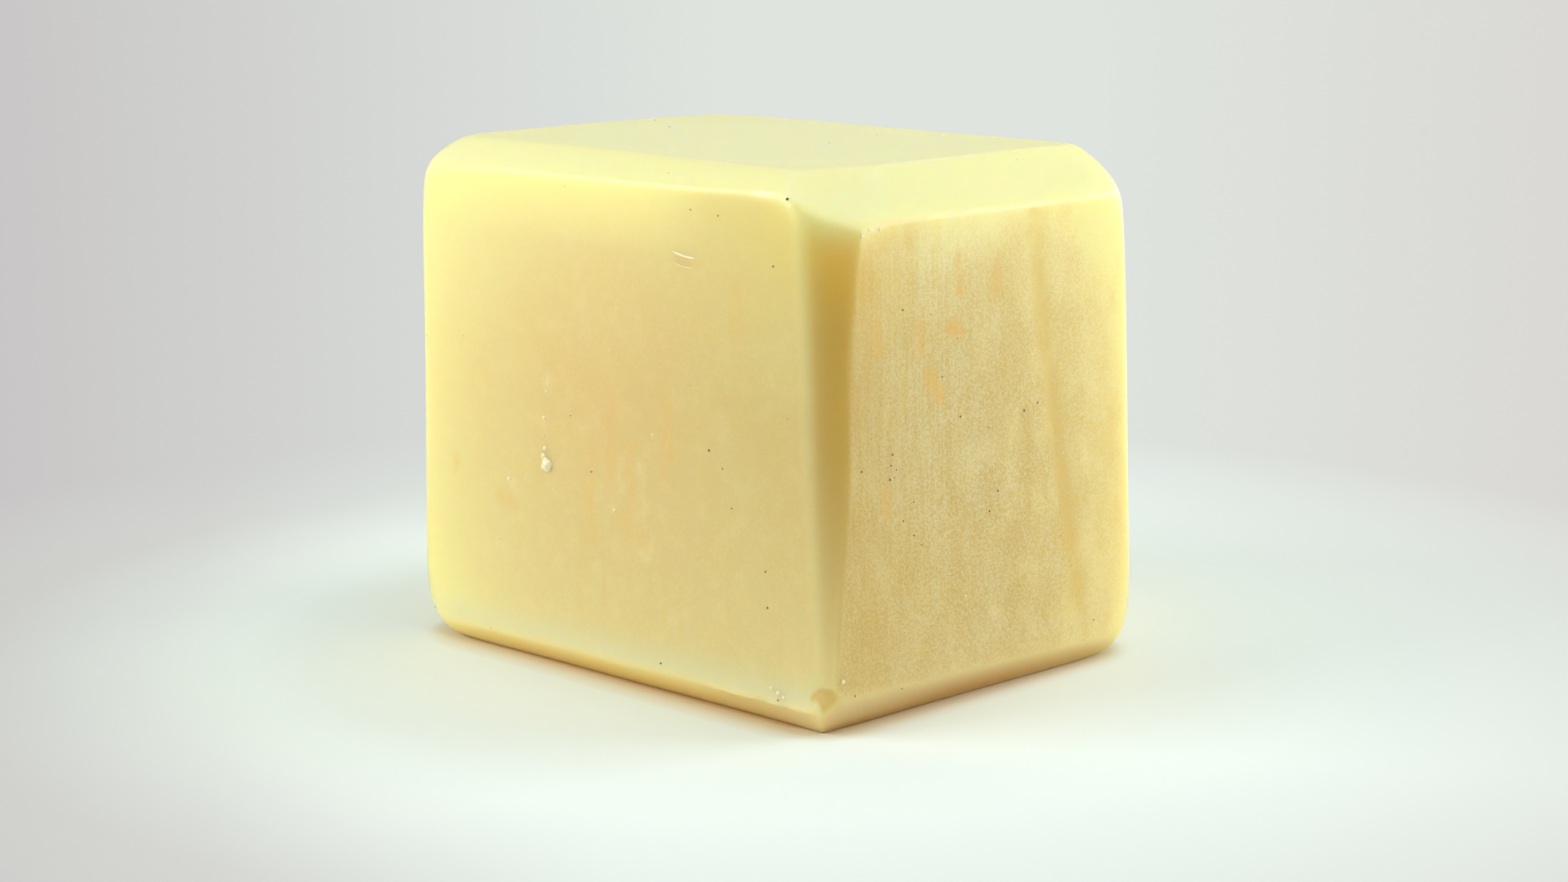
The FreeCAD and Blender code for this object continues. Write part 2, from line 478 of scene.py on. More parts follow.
# How strongly the glow painted along each edge shows at its two ends, and over what distance it fades
painted_glow_of_edge = {
    ("smooth", "top"): (1.0, 0.55, 8.0),
    ("frosted", "top"): (1.0, 1.0, 6.5),
    ("end", "top"): (0.9, 0.9, 8.0),
    ("back", "top"): (0.9, 0.9, 8.0),
    ("smooth", "base"): (0.2, 0.1, 3.0),
    ("frosted", "base"): (0.1, 0.1, 3.0),
    ("end", "base"): (0.5, 0.5, 6.0),
    ("back", "base"): (0.5, 0.5, 6.0),
    ("smooth", "end"): (0.75, 1.0, 9.5),
    ("back", "frosted"): (0.75, 1.0, 8.0),
    ("back", "end"): (0.8, 1.0, 9.0),
}


def ragged(values, wavelength, seed):
    """A random swell from 0 to 1 along one direction."""
    line = np.stack([values, np.zeros(len(values)), np.zeros(len(values))], axis=1)
    return 0.5 + 0.5 * np.clip(wave(line, wavelength, seed), -1.0, 1.0)


softness = mask_blend + soft_blend * near_point(skin, soft_place, soft_reach)
_, weight = blend_planes(skin, np.maximum(blend, softness))
on = {name: weight[:, order.index(name)] for name in order}
x, y, z = skin.T

drag_y = drag_line_at_base + (drag_line_at_top - drag_line_at_base) * z / height
drag_gap = y - drag_y - drag_wander * wave(skin * (0, 0, 1), drag_wander_length, drag_seed)
drag_fade = on["frosted"] * np.clip((z - drag_deepens_from) / drag_deepens_over, drag_at_foot, 1.0)
drag = np.exp(-(drag_gap / drag_reach) ** 2) * drag_fade
bank = np.exp(-((drag_gap + drag_bank_offset) / drag_bank_reach) ** 2) * drag_fade
skin += (drag_bank_height * bank - drag_depth * drag)[:, None] * normals[order.index("frosted")]

chip_across = (skin - chip_place) @ chip_sideways / chip_half_width
chip_up = (z - chip_place[2]) / chip_half_height
chip_out = (skin - chip_place) @ chip_inwards
chip_round = np.sqrt(chip_across ** 2 + chip_up ** 2)
chip_round += chip_raggedness * wave(skin, chip_rag_length, chip_seed)
chip = np.clip((1.0 - chip_round) / chip_edge, 0.0, 1.0) * (np.abs(chip_out) < chip_reach)
skin += (chip * chip_depth)[:, None] * chip_inwards

lip_run = np.clip((x - lip_from) / lip_fade, 0, 1) * np.clip((lip_to - x) / lip_fade, 0, 1)
lip_run *= lip_least + (1 - lip_least) * ragged(x, lip_rag_length, lip_seed)
foot_ridge = (
    meeting_point("smooth", ("smooth", "base"), ("smooth", "end")),
    corners[frozenset(("frosted", "smooth", "base"))][1]["smooth"],
)
lip = near_line(skin, *foot_ridge, lip_reach) * lip_run
skin += lip[:, None] * np.array((0.0, -lip_proud, -lip_hang))


def on_face(face, across, up):
    """The place on one of the two upright show faces, by its distance along the face and its height."""
    return (across, smooth_y(up), up) if face == "smooth" else (frosted_x(up), across, up)


def marked(marks):
    """A mask of short soft marks that wander a little."""
    waves = [wave(skin, mark_wander_length, seed) for seed in mark_seeds]
    wandering = skin + mark_wander * np.stack([*waves, 0 * z], axis=1)
    total = np.zeros(len(skin))
    for face, across_a, up_a, across_b, up_b, reach in marks:
        ends = np.array([on_face(face, across_a, up_a), on_face(face, across_b, up_b)])
        total = np.maximum(total, near_line(wandering, *ends, reach))
    return total


without_painted_glow = np.ones(len(skin))
for (a, b), (strength_at_start, strength_at_end, reach) in painted_glow_of_edge.items():
    end_flats = [pair for pair in opposite_flats.values() if a not in pair and b not in pair][0]
    start, end = [corners[frozenset((a, b, flat))][0] for flat in end_flats]
    along = end - start
    t = np.clip((skin - start) @ along / (along @ along), 0.0, 1.0)
    gap = np.linalg.norm(skin - (start + t[:, None] * along), axis=1)
    strength = strength_at_start + (strength_at_end - strength_at_start) * t
    without_painted_glow *= 1.0 - strength * np.exp(-gap / reach)
beside_frosted = np.maximum(1.0 - on["frosted"], least_beside_frosted)
on_any_ridge = np.clip(2.0 * (1.0 - weight.max(axis=1)), 0.0, 1.0)

# What the material needs at each point: the face it is on, its painted glow, and the marks that it is in
masks = {
    "glow": 1.0 - without_painted_glow,
    "front": np.clip(on[front] / beside_frosted, 0.0, 1.0),
    "frost": on["frosted"],
    "plain": on["smooth"],
    "cut": on["top"],
    "bevel": sum(on[name] for name in on if "top" in name and name != "top") + on["rubbed_corner"],
    "under": on["smooth", "base"] + on["end", "base"] + on["back", "base"],
    "under_frosted": on["frosted", "base"],
    "outer": on["smooth", "end"] + on["back", "frosted"],
    "rim": near_line(skin, *foot_ridge, rim_reach) * on["smooth"],
    "ridge": on_any_ridge * (on[front] < worn_ridge_share),
    "drag": drag,
    "chip": chip,
    "gleam": near_line(skin, *gleam_line, gleam_reach),
    "lip": lip,
    "crisp": near_line(skin, *crisp_ridge, crisp_shade_reach) * on["frosted"],
    "bare": marked(bare_marks),
    "pale": marked(pale_marks),
}
soap_mesh.vertices.foreach_set("co", (skin * mm).ravel())
for name, values in masks.items():
    layer = soap_mesh.attributes.new(name, "FLOAT", "POINT")
    layer.data.foreach_set("value", values)
soap_mesh.polygons.foreach_set("use_smooth", np.ones(len(soap_mesh.polygons), dtype=bool))
soap_mesh.update()
soap = bpy.data.objects.new("soap", soap_mesh)
bpy.context.scene.collection.objects.link(soap)

# The soap's material
# Cold-process soap, cured for weeks: waxy and slightly clear, so light seeps a few millimetres in and
# the thin edges glow lemon, a glow that is also painted into the colour. One face is bare and smooth,
# the next is frosted with dry white soda ash.
heart_tan = "D8B872"
heart_ochre = "D9B960"
heart_green = "D7C688"
painted_glow_lemon = "F8F19F"
painted_light_lemon = "FCFDBB"
painted_top_light_lemon = "FFFA9A"
facet_head_glow_honey = "F4E67A"
shaded_facet_honey = "DCB954"
shaded_facet_upper_honey = "F1C84E"
painted_facet_foot_light = "FCF2B2"
dry_cream = "D8CA95"
lit_dry_cream = "FBF2B8"
drag_ochre = "E0BC68"
under_ash = "C9A54E"
lit_under_ash = "F9E284"
cut_cream = "FFFBC1"
cut_tan = "FFFAB4"
foot_cream = "EDDA8E"
foot_shaded_tan = "DAB260"
foot_beige = "DCC48E"
frosted_foot_cream = "DEC98F"
frosted_foot_shaded_brown = "C4924E"
contact_shade_brown = "B67E42"
lower_rim_glow_cream = "D6D9B4"
worn_ridge_light_green = "DDDBA0"
outer_glow_lemon = "E9EAC6"
patch_cream = "F3E7A2"
painted_outer_shade = "BFBFC4"
painted_front_shade = "F2F9F3"
painted_upper_front_shade = "FBEDCF"
chip_honey = "D9BE6F"
scuff_cream = "F3E6B0"
scuff_ochre = "E4B45A"
ridge_highlight_cream = "FFFFD6"
gleam_cream = "FFFFE6"
seep_distance = 3.0 * mm
seep_by_colour = (1.0, 0.72, 0.28)
soap_ior = 1.46
smooth_roughness = 0.36
frost_roughness = 0.3
cut_roughness = 0.15
mottle_roughness = 0.12
mottle_relief = 0.25
cut_relief = 1.2
bump_height = 0.12 * mm
bump_strength = 0.35
pattern_roughness = 0.55
ash_raggedness = 2.5 * mm


def colour(hex_code):
    """An sRGB hex colour as the linear colour that a material takes."""
    channels = [int(hex_code[i:i + 2], 16) / 255 for i in (0, 2, 4)]
    return (*[c / 12.92 if c <= 0.04045 else ((c + 0.055) / 1.055) ** 2.4 for c in channels], 1.0)


def add_node(tree, kind, settings=None, inputs=None, output=0):
    """Adds a node with its settings, sets or links its inputs, and returns one of its outputs."""
    node = tree.nodes.new(kind)
    for name, value in (settings or {}).items():
        setattr(node, name, value)
    for name, value in (inputs or {}).items():
        if isinstance(value, bpy.types.NodeSocket):
            tree.links.new(value, node.inputs[name])
        else:
            node.inputs[name].default_value = value
    return node.outputs[output] if node.outputs else None


def new_material(name):
    """An empty material of the given name."""
    material = bpy.data.materials.new(name)
    material.use_nodes = True
    material.node_tree.nodes.clear()
    return material


def pattern(tree, size_mm, detail, stretch=(1.0, 1.0, 1.0)):
    """A soft random pattern with features of a real size, stretched along each axis as asked."""
    per_metre = [1 / (size_mm * mm * times_longer) for times_longer in stretch]
    place = add_node(tree, "ShaderNodeTexCoord", output="Object")
    where = add_node(tree, "ShaderNodeVectorMath", {"operation": "MULTIPLY"}, {0: place, 1: per_metre})
    return add_node(tree, "ShaderNodeTexNoise", None, {
        "Vector": where, "Scale": 1.0, "Detail": detail, "Roughness": pattern_roughness})


def combine(tree, operation, *parts):
    """Values multiplied or added together.

    A part is a value alone, or a value with the two levels that it is spread between: from 0 to 1,
    or between two more numbers.
    """
    total = None
    for part in parts:
        if isinstance(part, tuple):
            value, low, high, *ends = part
            at_low, at_high = ends or (0.0, 1.0)
            part = add_node(tree, "ShaderNodeMapRange", None, {
                "Value": value, "From Min": low, "From Max": high, "To Min": at_low, "To Max": at_high})
        if total is None:
            total = part
        else:
            total = add_node(tree, "ShaderNodeMath", {"operation": operation}, {0: total, 1: part})
    return total


def coat(tree, under, top, *parts, blend_type="MIX"):
    """One colour laid over another, as thick as the product of the parts."""
    under, top = [colour(shade) if isinstance(shade, str) else shade for shade in (under, top)]
    return add_node(tree, "ShaderNodeMix", {"data_type": "RGBA", "blend_type": blend_type}, {
        0: combine(tree, "MULTIPLY", *parts), 6: under, 7: top}, output=2)


soap_material = new_material("cured_soap")
tree = soap_material.node_tree
on_soap = {
    name: add_node(tree, "ShaderNodeAttribute", {"attribute_name": name}, output="Fac") for name in masks
}
place = add_node(tree, "ShaderNodeTexCoord", output="Object")
axes = add_node(tree, "ShaderNodeSeparateXYZ", None, {0: place}).node.outputs
along, back, up = axes["X"], axes["Y"], axes["Z"]
clouds = pattern(tree, 11.0, 3.0)
patches = pattern(tree, 4.2, 4.0, (1.0, 1.0, 1.6))
drifts = pattern(tree, 3.6, 4.0, (1.0, 1.0, 1.8))
mottle = pattern(tree, 2.4, 4.0)
drags = pattern(tree, 1.1, 3.0, (1.0, 1.0, 12.0))
cut_lines = pattern(tree, 0.5, 4.0, (26.0, 1.0, 1.0))
combed = pattern(tree, 0.42, 2.0, (1.0, 1.0, 30.0))
# Soda ash lies in grains of some 0.05 mm, too fine to show in the render, so they are drawn coarser.
grain = pattern(tree, 0.27, 2.0)
fine_grain = pattern(tree, 0.14, 2.0)

# The smooth face: honey at heart, a painted lemon glow where light seeps through the edges, and painted shade
# towards the front.
plain = on_soap["plain"]
glow = on_soap["glow"]
shade = coat(tree, heart_tan, heart_green, (up, 30 * mm, 2 * mm))
shade = coat(tree, shade, heart_green, (clouds, 0.42, 0.68, 0.0, 0.3))
shade = coat(tree, shade, heart_ochre, plain, (drags, 0.48, 0.7, 0.0, 0.17))
shade = coat(tree, shade, scuff_cream, plain, (mottle, 0.5, 0.68, 0.0, 0.09))
shade = coat(tree, shade, scuff_cream, plain, (grain, 0.52, 0.66, 0.0, 0.1))
shade = coat(tree, shade, painted_glow_lemon, glow)
shade = coat(
    tree, shade, painted_front_shade, plain, (along, 0.0, 22 * mm), (up, 9 * mm, 30 * mm, 0.25, 1.0),
    blend_type="MULTIPLY")
shade = coat(
    tree, shade, painted_upper_front_shade, plain, (along, 8 * mm, 24 * mm), (up, 36 * mm, 46 * mm),
    blend_type="MULTIPLY")

# The front facet: a dark honey painted as shade, since it faces away from the side lamps, fading out at its
# head and towards its foot.
facet = on_soap["front"]
# Painted light on the facet: a pale cream towards its foot and a lemon glow at its head.
shade = coat(tree, shade, painted_facet_foot_light, (facet, 0.1, 0.9), (up, 28 * mm, 6 * mm, 0.0, 0.6))
shade = coat(tree, shade, facet_head_glow_honey, (facet, 0.1, 0.9), (up, 42.5 * mm, 48 * mm, 0.0, 0.5))
facet_shade_honey = coat(tree, shaded_facet_honey, shaded_facet_upper_honey, (up, 38 * mm, 45 * mm))
shade = coat(
    tree, shade, facet_shade_honey, (facet, 0.38, 1.0), (up, 7 * mm, 29 * mm, 0.1, 1.0),
    (up, 42 * mm, 48 * mm, 1.0, 0.55))
# A pale band painted on the worn ridge beside the facet, a painted highlight where the round ridge catches
# the light.
shade = coat(tree, shade, worn_ridge_light_green, (facet, 0.03, 0.3), (facet, 0.6, 0.35), 0.22)

# The top: a fresh cut with fine lines, planed facets around it painted pale as light from above, and a band
# of painted light along the top of the smooth face.
shade = coat(tree, shade, painted_top_light_lemon, plain, (up, 43 * mm, 49 * mm, 0.0, 0.4), (along, 14 * mm, 4 * mm))
top_shade = coat(tree, cut_tan, cut_cream, (cut_lines, 0.35, 0.6))
shade = coat(tree, shade, top_shade, on_soap["cut"], (glow, 0.45, 0.95, 0.95, 0.6))
shade = coat(tree, shade, painted_light_lemon, on_soap["bevel"], 0.75)

# The frosted face: white ash in grains, combed upright near the front and clear of the drag line.
grains = combine(
    tree, "ADD",
    combine(tree, "MULTIPLY", (grain, 0.41, 0.59), 0.46),
    combine(tree, "MULTIPLY", (fine_grain, 0.41, 0.59), 0.46),
    combine(tree, "MULTIPLY", (combed, 0.38, 0.6), (back, 3 * mm, -10 * mm, 0.0, 0.3),
            (up, 13 * mm, 24 * mm, 0.25, 1.0)),
    (drifts, 0.3, 0.7, -0.1, 0.2),
)
ragged_height = combine(tree, "ADD", up, (mottle, 0.3, 0.7, -ash_raggedness, ash_raggedness))
ash = combine(
    tree, "MULTIPLY", (grains, 0.08, 1.06), (on_soap["drag"], 0.1, 0.9, 1.0, 0.4),
    (back, 12 * mm, 22 * mm, 1.0, 0.6), (back, -9 * mm, -17 * mm, 1.0, 0.72),
    (ragged_height, 50 * mm, 44.5 * mm), (glow, 0.08, 0.85, 1.0, 0.8))
# Paler lit colours and a lemon glow, painted where light seeps in from the edges.
ash_shade = coat(tree, dry_cream, lit_dry_cream, (glow, 0.08, 0.85))
frosted = coat(tree, under_ash, lit_under_ash, (glow, 0.08, 0.85))
frosted = coat(tree, frosted, ash_shade, ash)
frosted = coat(tree, frosted, dry_cream, on_soap["frost"], (ragged_height, 9 * mm, 3 * mm, 0.0, 0.22))
frosted = coat(tree, frosted, painted_glow_lemon, (glow, 0.55, 0.92))
frosted = coat(
    tree, frosted, patch_cream, (patches, 0.46, 0.66), (back, -10 * mm, 8 * mm, 0.1, 0.26),
    (glow, 0.3, 0.95, 1.0, 0.2))
frosted = coat(tree, frosted, drag_ochre, (patches, 0.46, 0.32), (back, -12 * mm, 8 * mm, 0.1, 0.2))
# A band of painted light below the top of the frosted face.
frosted = coat(
    tree, frosted, painted_light_lemon, (back, -12 * mm, -7 * mm), (back, 7 * mm, 0.0),
    (up, 42 * mm, 46 * mm, 0.0, 0.4))
# Painted shade in the upper corner by the front edge, and beside the crisp ridge.
frosted = coat(
    tree, frosted, painted_upper_front_shade, (back, -9 * mm, -17 * mm), (up, 34 * mm, 42 * mm, 0.0, 0.6),
    (up, 47 * mm, 43 * mm), blend_type="MULTIPLY")
frosted = coat(
    tree, frosted, painted_upper_front_shade, on_soap["crisp"], (up, 14 * mm, 28 * mm, 0.0, 0.6),
    (up, 47 * mm, 43.5 * mm), blend_type="MULTIPLY")
frosted = coat(tree, frosted, drag_ochre, on_soap["drag"], (mottle, 0.35, 0.65, 0.05, 0.4))
shade = coat(tree, shade, frosted, (on_soap["frost"], 0.2, 0.7))

# Scuffs, painted glow and painted shade on the outer upright facets, the planed foot with painted shade
# towards the floor, the chip, and painted highlights on the ridges.
shade = coat(
    tree, shade, scuff_ochre, on_soap["bare"], (mottle, 0.35, 0.6, 0.35, 0.75), (plain, 0.0, 1.0, 1.0, 0.45))
shade = coat(tree, shade, scuff_cream, on_soap["pale"], (mottle, 0.35, 0.65, 0.0, 0.3))
# A lemon glow painted on the outer upright facets, and painted shade on them towards the floor.
shade = coat(tree, shade, outer_glow_lemon, on_soap["outer"], 0.6)
shade = coat(tree, shade, painted_outer_shade, on_soap["outer"], (up, 22 * mm, 5 * mm), blend_type="MULTIPLY")
# A pale glow painted along the lower ridge of the smooth face.
shade = coat(tree, shade, lower_rim_glow_cream, on_soap["rim"], 0.65)
# The planed foot, with painted shade: darker and browner towards the floor, darkest right at the contact.
foot = coat(tree, foot_shaded_tan, foot_cream, (up, 0.3 * mm, 2.2 * mm))
foot = coat(tree, foot, foot_beige, (along, 8 * mm, 26 * mm, 0.0, 0.7))
foot = coat(tree, foot, foot_cream, (along, -8 * mm, -22 * mm, 0.0, 0.4))
foot = coat(tree, foot, contact_shade_brown, (up, 0.45 * mm, 0.05 * mm))
shade = coat(tree, shade, foot, on_soap["under"], 0.95)
foot = coat(tree, frosted_foot_shaded_brown, frosted_foot_cream, (up, 0.6 * mm, 3.2 * mm))
foot = coat(tree, foot, contact_shade_brown, (up, 0.5 * mm, 0.0))
foot = coat(tree, foot, foot_cream, (back, 2 * mm, 20 * mm, 0.0, 0.35))
foot = coat(tree, foot, foot_beige, (back, -6 * mm, -20 * mm, 0.0, 0.6), (up, 0.3 * mm, 1.0 * mm))
shade = coat(tree, shade, foot, on_soap["under_frosted"], 0.95)
shade = coat(tree, shade, chip_honey, on_soap["chip"], 0.85)
# Painted highlights: pale lines along the top ridges, a glint near the front corner, and a faint line on the
# lip.
ridge_highlight_strength = combine(tree, "ADD", (along, -24 * mm, 12 * mm, 0.2, 0.6), (mottle, 0.35, 0.65, -0.25, 0.1))
ridge_highlight_strength = combine(
    tree, "MULTIPLY", ridge_highlight_strength, (along, 21.5 * mm, 24 * mm, 1.0, 0.6), (back, -23 * mm, -20 * mm, 1.0, 0.5))
frosted_ridge_highlight = combine(tree, "MULTIPLY", (back, -15 * mm, -9 * mm), (mottle, 0.35, 0.6, 0.1, 0.7))
ridge_highlight_strength = combine(tree, "ADD", ridge_highlight_strength, frosted_ridge_highlight)
shade = coat(tree, shade, ridge_highlight_cream, (on_soap["ridge"], 0.5, 1.0), (up, 40 * mm, 47 * mm), ridge_highlight_strength, 0.8)
shade = coat(tree, shade, gleam_cream, on_soap["gleam"], 0.45)
shade = coat(tree, shade, ridge_highlight_cream, on_soap["lip"], 0.1)

roughness = combine(
    tree, "ADD", smooth_roughness,
    combine(tree, "MULTIPLY", on_soap["frost"], frost_roughness),
    combine(tree, "MULTIPLY", on_soap["cut"], cut_roughness),
    combine(tree, "MULTIPLY", mottle, mottle_roughness),
)
bumps = combine(
    tree, "ADD",
    combine(tree, "MULTIPLY", grain, on_soap["frost"]),
    combine(tree, "MULTIPLY", mottle, mottle_relief),
    combine(tree, "MULTIPLY", cut_lines, on_soap["cut"], cut_relief),
)
bump = add_node(tree, "ShaderNodeBump", None, {
    "Strength": bump_strength, "Distance": bump_height, "Height": bumps})
soap_shader = add_node(tree, "ShaderNodeBsdfPrincipled", None, {
    "Base Color": shade,
    "Roughness": roughness,
    "IOR": soap_ior,
    "Subsurface Weight": 1.0,
    "Subsurface Radius": seep_by_colour,
    "Subsurface Scale": seep_distance,
    "Normal": bump,
})
add_node(tree, "ShaderNodeOutputMaterial", None, {"Surface": soap_shader})
soap_mesh.materials.append(soap_material)
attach(soap, "root")
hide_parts("soap_bar")

# The nicks
# Two thin slivers of soap, high on the smooth face, that a notch in the blade raised. Soap raised like
# this dries right through, so next to the waxy face it looks chalky, pale and dull.
dried_cream = "FFF0B4"
dried_white = "FFFCDC"
dried_mottle = 0.5
dried_roughness = 0.6
slivers = (((8.9, 43.7), (11.8, 43.3), 0.15), ((8.9, 42.65), (11.7, 42.35), 0.07))
sliver_rise = 0.07
sliver_sag = 0.5
sliver_steps = 16
sliver_blunt_end = 0.02
sliver_fullness = 0.7
sliver_unevenness = 0.25
sliver_ripples = 9
sliver_upright = Vector((0.2, 0.0, 0.98))

dried_soap = new_material("pale_dried_soap")
tree = dried_soap.node_tree
dried_shade = coat(tree, dried_cream, dried_white, pattern(tree, dried_mottle, 2.0))
dried_shader = add_node(tree, "ShaderNodeBsdfPrincipled", None, {
    "Base Color": dried_shade, "Roughness": dried_roughness})
add_node(tree, "ShaderNodeOutputMaterial", None, {"Surface": dried_shader})

skin_finder = BVHTree.FromPolygons(
    [Vector(point) for point in skin * mm], [polygon.vertices for polygon in soap_mesh.polygons])


def on_skin(face, across, up):
    """The point of the soap's skin at a place on one of its show faces, and the way out there."""
    found, outwards, _, _ = skin_finder.find_nearest(Vector(on_face(face, across, up)) * mm)
    return found, outwards


sliver_points = []
sliver_faces = []
for (across_a, up_a), (across_b, up_b), half_width in slivers:
    first = len(sliver_points)
    for step in range(sliver_steps + 1):
        t = step / sliver_steps
        sag = sliver_sag * (t - t * t)
        spot, outwards = on_skin(
            "smooth", across_a + (across_b - across_a) * t, up_a + (up_b - up_a) * t - sag)
        tapered = math.sin(math.pi * min(max(t, sliver_blunt_end), 1 - sliver_blunt_end)) ** sliver_fullness
        girth = tapered * (1 - sliver_unevenness + sliver_unevenness * math.sin(sliver_ripples * t))
        side = sliver_upright * half_width * mm * girth
        rise = outwards * sliver_rise * mm * girth
        sliver_points += [spot + side, spot + rise, spot - side, spot - rise]
        if step:
            ring = first + 4 * step
            sliver_faces += [
                (ring + k - 4, ring + (k + 1) % 4 - 4, ring + (k + 1) % 4, ring + k) for k in range(4)]
    last = first + 4 * sliver_steps
    sliver_faces += [(first, first + 3, first + 2, first + 1), (last, last + 1, last + 2, last + 3)]
sliver_mesh = bpy.data.meshes.new("blade_slivers")
sliver_mesh.from_pydata(sliver_points, [], sliver_faces)
turned = bmesh.new()
turned.from_mesh(sliver_mesh)
bmesh.ops.recalc_face_normals(turned, faces=turned.faces)
turned.to_mesh(sliver_mesh)
turned.free()
sliver_mesh.materials.append(dried_soap)
sliver_piece = bpy.data.objects.new("blade_slivers", sliver_mesh)
bpy.context.scene.collection.objects.link(sliver_piece)
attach(sliver_piece, "root")

# Crumbs and dust on the soap
# Pale crumbs of the same soap, one large and a trail of small ones, that stuck to the smooth face
# while it was soft, and fine dark dust. They are small lumps, sunk a little into the skin.
# Each has its face, its distance along that face, its height and its radius
pale_crumbs = (
    ("smooth", -8.8, 20.7, 0.76), ("smooth", -9.3, 21.5, 0.34), ("smooth", -9.1, 22.3, 0.26),
    ("smooth", -9.2, 23.6, 0.12), ("smooth", -9.2, 25.4, 0.2), ("smooth", -8.8, 28.1, 0.18),
    ("smooth", -8.6, 28.8, 0.16), ("smooth", 1.0, 17.6, 0.2), ("smooth", 1.3, 42.4, 0.14),
    ("smooth", -14.6, 18.4, 0.22), ("smooth", 0.3, 33.3, 0.13), ("smooth", 6.3, 25.8, 0.16),
    ("smooth", 22.4, 3.9, 0.2), ("smooth", 23.3, 3.6, 0.24), ("smooth", 24.0, 3.3, 0.18),
    ("frosted", -18.6, 46.4, 0.2), ("frosted", -17.6, 46.9, 0.16), ("frosted", -16.2, 46.8, 0.18),
    ("frosted", -22.2, 5.6, 0.24), ("frosted", -4.6, 10.6, 0.13),
)
dark_dust = (
    ("smooth", 23.6, 49.9, 0.15), ("smooth", 22.0, 43.5, 0.11), ("smooth", 13.9, 25.3, 0.13),
    ("smooth", 15.7, 23.8, 0.09), ("smooth", 17.0, 20.2, 0.09), ("smooth", 21.5, 14.9, 0.11),
    ("smooth", 21.8, 11.5, 0.12), ("smooth", 7.5, 3.4, 0.12), ("smooth", 11.3, 47.8, 0.09),
    ("smooth", -2.3, 20.9, 0.1), ("smooth", -5.3, 26.1, 0.08), ("smooth", 23.3, 2.9, 0.1),
    ("frosted", 4.4, 27.4, 0.13), ("frosted", 6.5, 27.9, 0.11), ("frosted", -14.9, 25.8, 0.11),
    ("frosted", -15.1, 24.8, 0.09), ("frosted", -14.4, 24.3, 0.08), ("frosted", -15.3, 23.5, 0.12),
    ("frosted", -14.7, 23.6, 0.08), ("frosted", 0.4, 20.1, 0.11), ("frosted", -0.9, 18.3, 0.11),
    ("frosted", -12.0, 20.9, 0.09), ("frosted", -13.5, 19.3, 0.1), ("frosted", -12.0, 17.7, 0.1),
    ("frosted", -10.9, 16.6, 0.08), ("frosted", -5.2, 28.1, 0.12), ("frosted", -13.1, 39.1, 0.11),
    ("frosted", -7.7, 32.2, 0.1), ("frosted", -19.2, 24.8, 0.1), ("frosted", -20.5, 3.9, 0.1),
    ("frosted", -1.0, 26.5, 0.08), ("frosted", -9.2, 38.3, 0.07), ("frosted", -5.4, 35.6, 0.07),
    ("frosted", -13.8, 3.1, 0.09),
)
lump_depth = 0.35
lump_unevenness = 0.9
lump_bulges = 1.1
lump_subdivisions = 3
lowest_lump = 1.5 * mm
loose_crumbs_per_square_metre = 1500.0
loose_crumb_sizes = (0.05 * mm, 0.12 * mm)
crumb_seed = 3
loose_dust_per_square_metre = 3500.0
loose_dust_sizes = (0.03 * mm, 0.08 * mm)
dust_seed = 8
dust_dark = "3A3018"
dust_brown = "6A562A"
dust_mottle = 0.6
dust_roughness = 0.8


